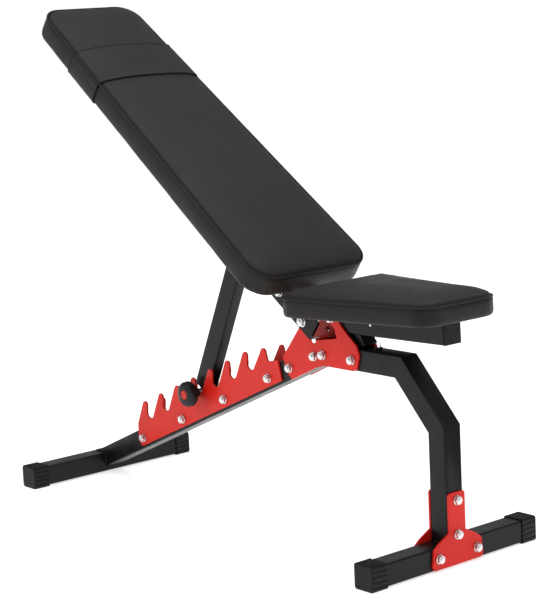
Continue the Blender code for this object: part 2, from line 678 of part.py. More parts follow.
KNOB_FACE = 0.076            # outer face of the knob from the bench's middle plane
knob_profile = [(0.0115, 0.0350), (0.0125, 0.0360), (0.0125, 0.0500), (0.0180, 0.0530), (0.0285, 0.0540)]
knob_profile += [(0.0300, 0.0560), (0.0300, 0.0690), (0.0285, 0.0720), (0.0240, 0.0745), (0.0170, KNOB_FACE)]
knob_profile += [(0.0120, KNOB_FACE), (0.0116, KNOB_FACE - 0.0020)]
knob = add("knob", lathe_bm(knob_profile, (0, 0, 0), (0, -1, 0), 32), "knob_plastic", knob_axis, smooth=35)
cut(knob, cutter(rod_bm(ROD_R + GAP, (0, -0.02, 0), (0, -rod_near - GAP, 0), 24), knob_axis))
cap_profile = [(0.0106, KNOB_FACE - 0.0020 + GAP), (0.0112, KNOB_FACE - 0.0010)]
cap_profile += [(0.0112, KNOB_FACE), (0.0095, KNOB_FACE + 0.0010)]
add("knob_cap", lathe_bm(cap_profile, (0, 0, 0), (0, -1, 0), 24), "knob_red", knob_axis, smooth=35)

# ---------------------------------------------------------------- seat
# In the seat's own axes X runs forward along the beam and Z stands square to it.
beam_mid = BEAM_LOW + TUBE / 2
slant = 0.043
beam = add("seat_beam",
           tube_bm([(0.002, beam_mid), (BEAM_FRONT, beam_mid)], TUBE, TUBE,
                   cuts=((TUBE, 0, slant), None)), "black_frame", seat_axis, smooth=40)
drill(beam, [(0.0, 0.0)], BOLT_HOLE_R, 0.04, parent=seat_axis)
bolt("seat_pivot_bolt", (SEAT_PIVOT_X, 0.0, SEAT_PIVOT_Z), (0, 1, 0), plate_grip)
front = box_bm((BEAM_FRONT + GAP, -TUBE / 2, BEAM_LOW), (BEAM_FRONT + 0.0045, TUBE / 2, BEAM_LOW + TUBE))
bmesh.ops.bevel(front, geom=list(front.edges), offset=0.0015, segments=1, affect="EDGES")
add("seat_beam_cap", front, "rubber", seat_axis)

under = BEAM_LOW - GAP
seat_bracket = [(0.020, under), (0.080, under), (0.092, under - 0.020), (0.090, under - 0.0245),
                (0.030, under - 0.0245)]
add("seat_bracket", plate_bm(seat_bracket, -0.019, 0.019), "black_frame", seat_axis)

seat_plan = (SEAT_BACK, SEAT_FRONT, SEAT_HALF_BACK, SEAT_HALF_FRONT, 0.042, 0.055)
add("seat_pad", cushion_bm(seat_plan, BEAM_LOW + TUBE + GAP, SEAT_SIDE, 0.022), "vinyl",
    seat_axis, smooth=40)

prop_pin_z = beam_mid
slot = box_bm((PROP_X - 0.014, -0.0065, BEAM_LOW - 0.004), (PROP_X + 0.014, 0.0065, BEAM_LOW + 0.006))
cut(beam, cutter(slot, seat_axis))
drill(beam, [(PROP_X, prop_pin_z)], 0.0033, 0.04, parent=seat_axis)
pin = rod_bm(0.003, (PROP_X, -TUBE / 2, prop_pin_z), (PROP_X, TUBE / 2, prop_pin_z))
add("seat_prop_pin", pin, "zinc", seat_axis, smooth=40)
prop_world = Matrix.Rotation(-SEAT_TILT, 3, "Y") @ Vector((PROP_X, 0.0, prop_pin_z))
prop_world += Vector((SEAT_PIVOT_X, 0.0, SEAT_PIVOT_Z))
prop_axis.location = prop_world
post_top = TOP_Z + TUBE / 2 + GAP
prop_len = prop_world.z - post_top
prop = add("seat_prop", rod_bm(PROP_R, (0, 0, -prop_len + 0.006 + GAP), (0, 0, 0.007), 24), "chrome",
           prop_axis, smooth=40)
cut(prop, cutter(rod_bm(0.0033, (0, -0.02, 0), (0, 0.02, 0), 24), prop_axis))
add("seat_prop_foot", rod_bm(0.0075, (0, 0, -prop_len), (0, 0, -prop_len + 0.006), 24), "rubber",
    prop_axis, smooth=40)

# ---------------------------------------------------------------- centre the bench over its box
for obj in bpy.data.objects:
    if obj.parent is None:
        obj.location.x += CENTRE_SHIFT
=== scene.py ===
"""Looks of the adjustable weight bench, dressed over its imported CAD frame.  Metres, +Z up."""
import json
from math import ceil, cos, pi, radians, sin, sqrt, tan

import bmesh
import bpy
from mathutils import Matrix, Vector, noise
from mathutils.bvhtree import BVHTree


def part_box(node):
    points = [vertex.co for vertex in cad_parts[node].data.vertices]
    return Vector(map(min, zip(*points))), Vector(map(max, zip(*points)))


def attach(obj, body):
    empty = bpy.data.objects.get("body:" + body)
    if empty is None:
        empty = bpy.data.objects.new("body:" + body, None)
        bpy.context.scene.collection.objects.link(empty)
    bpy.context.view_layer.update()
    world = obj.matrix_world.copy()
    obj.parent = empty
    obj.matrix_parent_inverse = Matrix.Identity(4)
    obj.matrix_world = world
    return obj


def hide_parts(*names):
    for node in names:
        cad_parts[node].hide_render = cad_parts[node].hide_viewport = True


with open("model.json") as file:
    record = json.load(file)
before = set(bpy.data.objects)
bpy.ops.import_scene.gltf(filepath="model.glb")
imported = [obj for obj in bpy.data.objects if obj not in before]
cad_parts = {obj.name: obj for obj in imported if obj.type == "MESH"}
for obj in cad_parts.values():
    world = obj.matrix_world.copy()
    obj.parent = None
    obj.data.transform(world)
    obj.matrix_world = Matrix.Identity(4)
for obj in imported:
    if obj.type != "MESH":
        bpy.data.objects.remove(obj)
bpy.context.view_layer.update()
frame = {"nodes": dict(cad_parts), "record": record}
nodes = frame["nodes"]
scene = bpy.context.scene

# ---------------------------------------------------------------- places shared with the CAD model
GAP = 0.0003
TUBE = 0.050
front_foot_low, front_foot_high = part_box("front_foot_tube")
POST_X = (front_foot_low.x + front_foot_high.x) / 2
rear_foot_low, rear_foot_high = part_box("rear_foot_tube")
REAR_X = (rear_foot_low.x + rear_foot_high.x) / 2
FOOT_TOP = front_foot_high.z
PIVOT = Vector((POST_X - 0.397, 0.0, 0.4895))
SEAT_PIVOT = Vector((POST_X - 0.310, 0.0, 0.505))
BACK = Matrix.Translation(PIVOT) @ Matrix.Rotation(radians(35.56), 4, "Y")
SEAT = Matrix.Translation(SEAT_PIVOT) @ Matrix.Rotation(radians(-1.2), 4, "Y")
SPINE_SLOPE = radians(23.5)
JOINT = Vector((POST_X - 0.357, 0.0, 0.418))
# pad plans: low x, high x, half width at each, corner radius at each
BACK_PLAN = (-1.0838, -0.0493, 0.1403, 0.1727, 0.055, 0.060)
BACK_BASE = 0.0429
BACK_SIDE = 0.0565           # wall height up to the piping
BACK_CROWN = 0.011
SEAT_PLAN = (-0.0340, 0.3835, 0.1675, 0.1125, 0.042, 0.055)
SEAT_BASE = 0.0187
SEAT_SIDE = 0.0430
SEAT_CROWN = 0.022
BAND_TOP = -0.902            # ends of the head band along the backrest
BAND_LOW = -0.776
ARM_HIGH = 0.0307            # top of the backrest arms, in the backrest's axes
RAILS = ((-0.240, 0.130), (-0.725, 0.115))     # pad rails: place along the backrest, half width


# ---------------------------------------------------------------- materials
class Finish:
    """A procedural material on the Principled shader, in object coordinates."""

    def __init__(self, name, **sockets):
        self.material = bpy.data.materials.new(name)
        self.material.use_nodes = True
        self.tree = self.material.node_tree
        self.shader = self.tree.nodes["Principled BSDF"]
        for key, value in sockets.items():
            self.shader.inputs[key.replace("_", " ")].default_value = value
        self.coords = self.tree.nodes.new("ShaderNodeTexCoord").outputs["Object"]

    def node(self, kind, **inputs):
        made = self.tree.nodes.new("ShaderNode" + kind)
        for key, value in inputs.items():
            if key in made.inputs:
                made.inputs[key].default_value = value
            else:
                setattr(made, key, value)
        return made

    def link(self, source, target):
        self.tree.links.new(source, target)

    def stretched(self, scale):
        mapping = self.node("Mapping")
        mapping.inputs["Scale"].default_value = scale
        self.link(self.coords, mapping.inputs["Vector"])
        return mapping.outputs["Vector"]

    def noise(self, scale, detail=2.0, rough=0.5, vector=None):
        made = self.node("TexNoise", Scale=scale, Detail=detail, Roughness=rough)
        self.link(vector or self.coords, made.inputs["Vector"])
        return made.outputs["Fac"]

    def cells(self, scale, feature="DISTANCE_TO_EDGE", vector=None):
        made = self.node("TexVoronoi", feature=feature)
        made.inputs["Scale"].default_value = scale
        self.link(vector or self.coords, made.inputs["Vector"])
        return made.outputs["Distance"]

    def remap(self, value, low, high, to_low, to_high):
        made = self.node("MapRange")
        made.inputs["From Min"].default_value = low
        made.inputs["From Max"].default_value = high
        made.inputs["To Min"].default_value = to_low
        made.inputs["To Max"].default_value = to_high
        self.link(value, made.inputs["Value"])
        return made.outputs["Result"]

    def blend(self, factor, first, second):
        """Colour mix; first and second are colours or sockets."""
        made = self.node("Mix", data_type="RGBA")
        self.link(factor, made.inputs[0])
        for socket, value in ((made.inputs[6], first), (made.inputs[7], second)):
            if isinstance(value, tuple):
                socket.default_value = (*value, 1.0)
            else:
                self.link(value, socket)
        return made.outputs[2]

    def add(self, first, second, weight=1.0):
        made = self.node("Math", operation="MULTIPLY_ADD")
        self.link(second, made.inputs[0])
        made.inputs[1].default_value = weight
        self.link(first, made.inputs[2])
        return made.outputs[0]

    def bump(self, height, strength, distance):
        made = self.node("Bump")
        made.inputs["Strength"].default_value = strength
        made.inputs["Distance"].default_value = distance
        self.link(height, made.inputs["Height"])
        self.link(made.outputs["Normal"], self.shader.inputs["Normal"])

    def colour(self, socket):
        self.link(socket, self.shader.inputs["Base Color"])

    def roughness(self, socket):
        self.link(socket, self.shader.inputs["Roughness"])


def powder_coat(name, dark, light, scuff, low_rough, high_rough, specular):
    """Powder coat: orange peel, slow colour drift and faint scuffs."""
    f = Finish(name, Specular_IOR_Level=specular)
    drift = f.remap(f.noise(7.0, 3.0), 0.35, 0.65, 0.0, 1.0)
    base = f.blend(drift, dark, light)
    rubbed = f.noise(55.0, 6.0, 0.72, f.stretched((1.0, 1.0, 2.6)))
    marks = f.remap(rubbed, 0.66, 0.78, 0.0, 0.55)
    f.colour(f.blend(marks, base, scuff))
    f.roughness(f.remap(f.noise(26.0, 4.0), 0.3, 0.7, low_rough, high_rough))
    peel = f.add(f.noise(420.0, 2.0), f.noise(1700.0, 1.0), 0.35)
    f.bump(peel, 0.16, 0.0006)
    return f.material


def vinyl(name, dark, light, grain=620.0, strength=0.33):
    """Upholstery vinyl: fine leather grain with painted shade darkening its grooves, soft creases and a
    slight sheen from handling.
    """
    f = Finish(name, Specular_IOR_Level=0.20, Sheen_Weight=0.02, Sheen_Roughness=0.5)
    drift = f.remap(f.noise(5.0, 4.0), 0.3, 0.7, 0.0, 1.0)
    grain_and_groove_shade = f.remap(f.cells(grain), 0.02, 0.22, 0.0, 1.0)
    base = f.blend(drift, dark, light)
    # the grain's sunken grooves get a darker colour: painted shade in the grooves
    f.colour(f.blend(grain_and_groove_shade, tuple(0.62 * c for c in dark), base))
    polish = f.add(f.remap(f.noise(9.0, 3.0), 0.3, 0.7, 0.40, 0.50), grain_and_groove_shade, -0.05)
    f.roughness(polish)
    warped = f.add(grain_and_groove_shade, f.noise(grain * 2.2, 2.0), 0.5)
    creases = f.add(warped, f.noise(38.0, 3.0, 0.6, f.stretched((1.0, 1.7, 1.0))), 1.6)
    f.bump(creases, strength, 0.00045)
    return f.material


def metal(name, tint, rough, brushed, strength):
    """Bright metal with fine turning or drawing marks and handling haze."""
    f = Finish(name, Metallic=1.0)
    haze = f.remap(f.noise(60.0, 4.0), 0.35, 0.7, 0.0, 1.0)
    f.colour(f.blend(haze, tint, tuple(0.82 * c for c in tint)))
    marks = f.noise(300.0, 3.0, 0.6, f.stretched(brushed))
    f.roughness(f.remap(marks, 0.3, 0.7, rough * 0.75, rough * 1.35))
    f.bump(marks, strength, 0.0003)
    return f.material


def moulded(name, dark, light, rough, grain, strength):
    """Moulded rubber or plastic with a fine spark-eroded texture."""
    f = Finish(name, Specular_IOR_Level=0.22)
    f.colour(f.blend(f.remap(f.noise(18.0, 4.0), 0.3, 0.7, 0.0, 1.0), dark, light))
    f.roughness(f.remap(f.noise(90.0, 3.0), 0.3, 0.7, rough - 0.07, rough + 0.07))
    f.bump(f.add(f.noise(grain, 3.0), f.noise(grain * 0.12, 2.0), 0.6), strength, 0.0005)
    return f.material


def woven(name):
    """Black non-woven dust cover."""
    f = Finish(name, Roughness=0.9, Specular_IOR_Level=0.2, Sheen_Weight=0.25)
    fibres = f.noise(900.0, 4.0, 0.8)
    dots = f.cells(420.0, "F1")
    shade = f.remap(fibres, 0.3, 0.7, 0.0, 1.0)
    f.colour(f.blend(shade, (0.008, 0.008, 0.008), (0.022, 0.022, 0.022)))
    f.bump(f.add(fibres, dots, 1.2), 0.5, 0.0004)
    return f.material


LOOKS = {
    "black_frame": powder_coat("black_powder_coat", (0.0036, 0.0036, 0.0038), (0.0062, 0.0062, 0.0066),
                               (0.018, 0.018, 0.019), 0.27, 0.40, 0.20),
    "red_plate": powder_coat("red_powder_coat", (0.60, 0.012, 0.006), (0.70, 0.019, 0.010),
                             (0.74, 0.045, 0.03), 0.28, 0.40, 0.22),
    "vinyl": vinyl("black_vinyl", (0.0125, 0.0100, 0.0080), (0.0170, 0.0142, 0.0118)),
    "rubber": moulded("black_rubber", (0.0035, 0.0035, 0.0035), (0.0070, 0.0070, 0.0070),
                      0.55, 700.0, 0.35),
    "zinc": metal("zinc_plate", (0.74, 0.74, 0.75), 0.22, (1.0, 1.0, 1.0), 0.06),
    "chrome": metal("chrome_bar", (0.90, 0.90, 0.92), 0.10, (0.3, 0.02, 0.3), 0.03),
    "knob_plastic": moulded("knob_plastic", (0.006, 0.006, 0.0065), (0.010, 0.010, 0.011),
                            0.36, 900.0, 0.15),
    "knob_red": moulded("knob_red", (0.52, 0.018, 0.010), (0.60, 0.026, 0.015), 0.36, 800.0, 0.10),
}
THREAD = moulded("stitch_thread", (0.030, 0.028, 0.026), (0.045, 0.042, 0.040),
                 0.62, 2500.0, 0.5)
COVER = woven("dust_cover")

SLOT_OF = {part["node"]: part["material_slot"] for part in frame["record"]["subparts"]}


# ---------------------------------------------------------------- carried-over CAD nodes
def dress(name, slot):
    """Procedural finish, softened edges and clean shading on a CAD node."""
    node = nodes[name]
    mesh = node.data
    mesh.materials.clear()
    mesh.materials.append(LOOKS[slot])
    for attribute in ("custom_normal", "sharp_face", "sharp_edge"):
        if attribute in mesh.attributes:
            mesh.attributes.remove(mesh.attributes[attribute])
    mesh.polygons.foreach_set("use_smooth", [True] * len(mesh.polygons))
    weld = node.modifiers.new("weld", "WELD")
    weld.merge_threshold = 0.00001
    bevel = node.modifiers.new("soft_edges", "BEVEL")
    bevel.width = 0.0008 if slot in ("black_frame", "red_plate") else 0.0005
    bevel.segments = 3
    bevel.limit_method = "ANGLE"
    bevel.angle_limit = radians(50)
    bevel.use_clamp_overlap = True
    shade = node.modifiers.new("shading", "WEIGHTED_NORMAL")
    shade.weight = 100


for node_name, slot_name in SLOT_OF.items():
    dress(node_name, slot_name)


# ---------------------------------------------------------------- helpers for new pieces
def piece(name, bm, look, body, place=None, angle=40):
    """A finished mesh object riding on a body; its vertices are in the place's own axes."""
    bmesh.ops.recalc_face_normals(bm, faces=bm.faces)
    mesh = bpy.data.meshes.new(name)
    bm.to_mesh(mesh)
    bm.free()
    obj = bpy.data.objects.new(name, mesh)
    scene.collection.objects.link(obj)
    mesh.materials.append(look)
    mesh.shade_smooth()
    mesh.set_sharp_from_angle(angle=radians(angle))
    if place is not None:
        obj.matrix_world = place
    bpy.context.view_layer.update()
    if body:
        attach(obj, body)
    return obj


def loft(bm, loops, closed=True, caps=True):
    """Skin rings of points into one surface."""
    rings = [[bm.verts.new(point) for point in loop] for loop in loops]
    for low, high in zip(rings, rings[1:]):
        count = len(low)
        for i in range(count if closed else count - 1):
            j = (i + 1) % count
            bm.faces.new((low[i], low[j], high[j], high[i]))
    if caps:
        bm.faces.new(rings[0])
        bm.faces.new(rings[-1])
    return rings


def bead(bm, points, radius, ripple=0.0, sides=8, closed=False):
    """Round bead along points, with optional weld ripples."""
    points = [Vector(point) for point in points]
    count = len(points)
    loops = []
    for i, point in enumerate(points):
        before = points[(i - 1) % count] if closed or i > 0 else point
        after = points[(i + 1) % count] if closed or i < count - 1 else point
        along = (after - before).normalized()
        across = along.orthogonal().normalized()
        if abs(along.z) < 0.9:
            across = along.cross(Vector((0, 0, 1))).normalized()
        other = along.cross(across)
        size = radius * (1 + ripple * sin(i * 2.1))
        loop = []
        for k in range(sides):
            turn = 2 * pi * k / sides
            loop.append(point + across * size * cos(turn) + other * size * sin(turn))
        loops.append(loop)
    if closed:
        loops.append(loops[0])
    loft(bm, loops, caps=not closed)
    if closed:
        bmesh.ops.remove_doubles(bm, verts=bm.verts, dist=0.000001)


def straight(start, end, step):
    """Evenly spaced points from start to end."""
    start = Vector(start)
    end = Vector(end)
    count = max(2, ceil((end - start).length / step))
    return [start.lerp(end, i / count) for i in range(count + 1)]


# ---------------------------------------------------------------- upholstery
def outline(plan, inset, steps=10, spacing=0.012):
    """Rounded, tapered plan of a pad as (x, y) points, with points along its straight sides."""
    x_low, x_high, half_low, half_high, r_low, r_high = plan
    x_low += inset
    x_high -= inset
    half_low -= inset
    half_high -= inset
    slant = (half_low - half_high) / (x_high - x_low)
    points = []
    corners = [(x_high, half_high, r_high, 0, -1, -1), (x_low, half_low, r_low, 90, 1, -1),
               (x_low, -half_low, r_low, 180, 1, 1), (x_high, -half_high, r_high, 270, -1, 1)]
    for cx, cy, radius, start, sx, sy in corners:
        radius = max(radius - inset, 0.004)
        mid_x = cx + sx * radius
        mid_y = cy + sy * radius * (1 + slant * sx)
        for step in range(steps):
            angle = radians(start + 90 * step / (steps - 1))
            points.append(Vector((mid_x + radius * cos(angle), mid_y + radius * sin(angle))))
    dense = []
    for i, point in enumerate(points):
        after = points[(i + 1) % len(points)]
        count = max(1, ceil((after - point).length / spacing))
        dense += [point.lerp(after, k / count) for k in range(count)]
    return dense


def evened(points, spacing, count=None):
    """The same closed line with evenly spaced points."""
    closed = points + [points[0]]
    lengths = [0.0]
    for first, second in zip(closed, closed[1:]):
        lengths.append(lengths[-1] + (second - first).length)
    count = count or round(lengths[-1] / spacing)
    made = []
    at = 0
    for i in range(count):
        target = lengths[-1] * i / count
        while lengths[at + 1] < target:
            at += 1
        part = (target - lengths[at]) / (lengths[at + 1] - lengths[at])
        made.append(closed[at].lerp(closed[at + 1], part))
    return made


def edge_distance(point, ring):
    """Distance in plan from a point to the nearest point of a ring, and that point's index."""
    best = min(range(len(ring)), key=lambda i: (ring[i] - point).length_squared)
    return (ring[best] - point).length, best


def swollen_pad(name, plan, base, side, crown, place, voxel, cap):
    """Closed pad that cloth pressure swells over its foam, as an object in its own axes."""
    small = 0.0012
    levels = [(0.011, 0.0), (0.003, 0.002), (0.0, 0.007), (0.0, side * 0.5), (0.0, side - 0.005),
              (0.002, side - 0.001), (0.010, side + crown * 0.38), (0.028, side + crown * 0.72),
              (0.055, side + crown * 0.93), (0.085, side + crown)]
    bm = bmesh.new()
    loops = []
    for inset, height in levels:
        ring = evened(outline(plan, inset + small), 0, 240)
        loops.append([Vector((p.x, p.y, base + height)) for p in ring])
    loft(bm, loops)
    obj = piece(name, bm, LOOKS["vinyl"], None, place, 60)
    bpy.ops.object.select_all(action="DESELECT")
    bpy.context.view_layer.objects.active = obj
    obj.select_set(True)
    obj.data.remesh_voxel_size = voxel
    bpy.ops.object.voxel_remesh()
    rest = [vert.co.copy() for vert in obj.data.vertices]
    held = obj.vertex_groups.new(name="held")
    for index, co in enumerate(rest):
        weight = 1.0 if co.z < base + 0.006 else 0.0
        if abs(co.z - (base + side)) < 0.006:
            weight = 0.55
        if weight > 0:
            held.add([index], weight, "REPLACE")
    cloth = obj.modifiers.new("cloth", "CLOTH")
    settings = cloth.settings
    settings.quality = 5
    settings.mass = 0.4
    settings.tension_stiffness = 25
    settings.compression_stiffness = 25
    settings.bending_stiffness = 1.5
    settings.vertex_group_mass = "held"
    settings.use_pressure = True
    settings.uniform_pressure_force = 4.0
    settings.effector_weights.gravity = 0.0
    cloth.point_cache.frame_start = 1
    cloth.point_cache.frame_end = 20
    for number in range(1, 21):
        scene.frame_set(number)
    swelled = obj.evaluated_get(bpy.context.evaluated_depsgraph_get()).data
    moved = [vert.co.copy() for vert in swelled.vertices]
    obj.modifiers.remove(cloth)
    scene.frame_set(1)
    for vert, old, new in zip(obj.data.vertices, rest, moved):
        shift = new - old
        if shift.length > cap:
            shift *= cap / shift.length
        vert.co = old + shift
    return obj


def tailor(obj, plan, base, side):
    """Seam grooves, corner gathers and faint hand-made unevenness on a swollen pad."""
    ring = evened(outline(plan, 0.0), 0.006)
    tangents = [(ring[(i + 1) % len(ring)] - ring[i - 1]).normalized() for i in range(len(ring))]
    bends = []
    for i in range(len(ring)):
        bends.append(tangents[i - 2].angle(tangents[(i + 2) % len(ring)], 0.0))
    bm = bmesh.new()
    bm.from_mesh(obj.data)
    bmesh.ops.smooth_vert(bm, verts=bm.verts, factor=0.5,
                          use_axis_x=True, use_axis_y=True, use_axis_z=True)
    bm.normal_update()
    for vert in bm.verts:
        co = vert.co
        depth, index = edge_distance(co.xy, ring)
        height = co.z - base
        if depth > 0.03 or height < 0.003:
            continue
        seam = sqrt(max(depth - 0.002, 0.0) ** 2 + (height - side) ** 2)
        pull = 0.0016 * max(0.0, 1 - (seam / 0.008) ** 2)
        lower = max(0.0, 1 - height / (side * 0.8))
        corner = min(1.0, bends[index] * 1.6)
        gather = 0.0011 * corner * lower * sin(index * 2 * pi / 2.6)
        uneven = 0.0006 * noise.noise(co * 28.0)
        vert.co = co - vert.normal * (pull + gather + uneven)
    bm.to_mesh(obj.data)
    bm.free()
    obj.data.shade_smooth()
    fine = obj.modifiers.new("fine", "SUBSURF")
    fine.levels = 1
    fine.render_levels = 1


def surface_of(obj):
    """Search tree over an object's finished surface, in its own axes."""
    bpy.context.view_layer.update()
    graph = bpy.context.evaluated_depsgraph_get()
    return BVHTree.FromObject(obj, graph)


def piping(name, plan, level, body, place):
    """Welt cord sewn into the edge between face and side."""
    bm = bmesh.new()
    ring = evened(outline(plan, 0.0030), 0.006)
    bead(bm, [(p.x, p.y, level + 0.0002 * noise.noise(Vector((p.x, p.y, 0)) * 60)) for p in ring],
         0.0024, sides=12, closed=True)
    return piece(name, bm, LOOKS["vinyl"], body, place, 80)


def stitches(name, plan, inset, level, surface, body, place, skip=None):
    """Row of thread stitches lying on the surface."""
    bm = bmesh.new()
    ring = evened(outline(plan, inset), 0.0046)
    spots = []
    for p in ring:
        if skip and skip[0] < p.x < skip[1]:
            spots.append(None)
            continue
        spot, normal, _, _ = surface.find_nearest(Vector((p.x, p.y, level)))
        spots.append((spot, normal))
    for i, spot in enumerate(spots):
        after = spots[(i + 1) % len(spots)]
        if spot is None or after is None:
            continue
        along = after[0] - spot[0]
        normal = spot[1]
        across = along.cross(normal).normalized()
        loops = []
        for part, size, lift in ((0.06, 0.25, -0.0002), (0.2, 0.8, 0.0002), (0.4, 1.0, 0.0004),
                                 (0.58, 0.8, 0.0002), (0.72, 0.25, -0.0002)):
            centre = spot[0] + along * part + normal * lift
            loop = []
            for k in range(6):
                turn = pi * k / 3
                loop.append(centre + (across * cos(turn) + normal * sin(turn)) * 0.00048 * size)
            loops.append(loop)
        loft(bm, loops)
    return piece(name, bm, THREAD, body, place, 80)


def underside(name, plan, level, body, place, stations):
    """Dust cover stapled under a pad, with its staples."""
    bm = bmesh.new()
    ring = outline(plan, 0.022)
    wavy = [p + Vector((noise.noise(Vector((p.x, p.y, 1)) * 20), 0)) * 0.0012 for p in ring]
    loft(bm, [[Vector((p.x, p.y, z)) for p in wavy] for z in (level, level - 0.0002)])
    piece(name + "_dust_cover", bm, COVER, body, place, 30)
    bm = bmesh.new()
    ring = evened(outline(plan, 0.028), 0.032)
    for i, p in enumerate(ring):
        along = (ring[(i + 1) % len(ring)] - p).normalized()
        if any(abs(p.x - x) < 0.026 for x in stations):
            continue
        lean = Matrix.Rotation(radians(9) * sin(i * 1.7), 2)
        along = lean @ along
        crown = Vector((p.x, p.y, level - 0.0006))
        ends = [crown + Vector((along.x, along.y, 0)) * s for s in (-0.005, 0.005)]
        bead(bm, [ends[0] + Vector((0, 0, 0.0006)), ends[0], ends[1], ends[1] + Vector((0, 0, 0.0006))],
             0.00045, sides=6)
    piece(name + "_staples", bm, LOOKS["zinc"], body, place, 60)


def upholstered(name, node, plan, base, side, crown, body, place, voxel, cap):
    """Finished cushion that stands for a CAD pad."""
    pad = swollen_pad(name, plan, base, side, crown, place, voxel, cap)
    tailor(pad, plan, base, side)
    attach(pad, body)
    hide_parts(node)
    return pad


backrest = upholstered("backrest_cushion", "backrest_pad", BACK_PLAN, BACK_BASE, BACK_SIDE, BACK_CROWN,
                       "backrest", BACK, 0.006, 0.005)
seat = upholstered("seat_cushion", "seat_pad", SEAT_PLAN, SEAT_BASE, SEAT_SIDE, SEAT_CROWN,
                   "seat", SEAT, 0.005, 0.006)
back_surface = surface_of(backrest)
seat_surface = surface_of(seat)
piping("backrest_piping", BACK_PLAN, BACK_BASE + BACK_SIDE - 0.0018, "backrest", BACK)
piping("seat_piping", SEAT_PLAN, SEAT_BASE + SEAT_SIDE - 0.0018, "seat", SEAT)
stitches("backrest_side_stitches", BACK_PLAN, 0.0, BACK_BASE + BACK_SIDE - 0.0062, back_surface,
         "backrest", BACK, (BAND_TOP, BAND_LOW))
stitches("seat_side_stitches", SEAT_PLAN, 0.0, SEAT_BASE + SEAT_SIDE - 0.0062, seat_surface,
         "seat", SEAT)
underside("backrest", BACK_PLAN, BACK_BASE - 0.00005, "backrest", BACK, [x for x, _ in RAILS])
underside("seat", SEAT_PLAN, SEAT_BASE - 0.00005, "seat", SEAT, ())


# ---------------------------------------------------------------- head band
def head_band():
    """Slip-on band round the backrest: a thin padded sleeve with turned hems."""
    graph = bpy.context.evaluated_depsgraph_get()
    bm = bmesh.new()
    bm.from_object(backrest, graph)
    for x in (BAND_TOP, BAND_LOW):
        bmesh.ops.bisect_plane(bm, geom=bm.verts[:] + bm.edges[:] + bm.faces[:], dist=0.00001,
                               plane_co=(x, 0, 0), plane_no=(1, 0, 0))
    outside = [v for v in bm.verts if v.co.x < BAND_TOP - 0.00002 or v.co.x > BAND_LOW + 0.00002]
    bmesh.ops.delete(bm, geom=outside, context="VERTS")
    for _ in range(4):
        inner = [v for v in bm.verts if not v.is_boundary]
        bmesh.ops.smooth_vert(bm, verts=inner, factor=0.5,
                              use_axis_x=False, use_axis_y=True, use_axis_z=True)
    bm.normal_update()
    ring = evened(outline(BACK_PLAN, 0.0), 0.006)
    for vert in bm.verts:
        co = vert.co.copy()
        normal = vert.normal.copy()
        normal.x = 0
        normal.normalize()
        depth, _ = edge_distance(co.xy, ring)
        seam = sqrt(depth ** 2 + (co.z - BACK_BASE - BACK_SIDE) ** 2)
        over = 0.0024 * max(0.0, 1 - (seam / 0.016) ** 2)
        rim = min(co.x - BAND_TOP, BAND_LOW - co.x)
        snug = 0.0006 * min(1.0, rim / 0.02)
        crease = 0.00045 * noise.noise(Vector((co.x * 55, co.y * 9, co.z * 9)))
        vert.co = co + normal * (0.0012 + over + snug + crease)
    obj = piece("head_band", bm, LOOKS["vinyl"], None, BACK, 70)
    skin = obj.modifiers.new("skin", "SOLIDIFY")
    skin.thickness = 0.0018
    skin.offset = 1.0
    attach(obj, "backrest")
    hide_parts("head_sleeve")
    return obj


band = head_band()


def band_line(name, x, radius, lift):
    """Turned hem round the band at one station along the backrest."""
    surface = surface_of(band)
    half = 0.22
    middle = Vector((x, 0.0, BACK_BASE + 0.03))
    points = []
    for i in range(180):
        turn = 2 * pi * i / 180
        aim = Vector((0.0, cos(turn) * half, sin(turn) * half))
        start = middle + aim
        hit = surface.ray_cast(start, -aim.normalized(), half)
        if hit[0] is not None:
            points.append(hit[0] + aim.normalized() * lift)
    bm = bmesh.new()
    bead(bm, evened(points, 0.004), radius, sides=8, closed=True)
    return piece(name, bm, LOOKS["vinyl"], "backrest", BACK, 80)


band_line("head_band_hem_lower", BAND_LOW - 0.0016, 0.0011, 0.0)
band_line("head_band_hem_upper", BAND_TOP + 0.0016, 0.0011, 0.0)


# ---------------------------------------------------------------- fasteners
def ring_points(radius, along, count=36, hexagon=None, limit=None):
    """Circle, or hexagon cut back to a circle of the limit's radius."""
    loop = []
    for i in range(count):
        turn = 2 * pi * i / count
        reach = radius
        if hexagon:
            reach = hexagon * cos(pi / 6) / cos((turn % (pi / 3)) - pi / 6)
            if limit:
                reach = min(reach, limit)
        loop.append(Vector((reach * cos(turn), reach * sin(turn), along)))
    return loop


def lathe(bm, profile, count=36):
    """Turned shape from (radius, height) pairs along the local Z axis."""
    loft(bm, [ring_points(radius, along, count) for radius, along in profile])


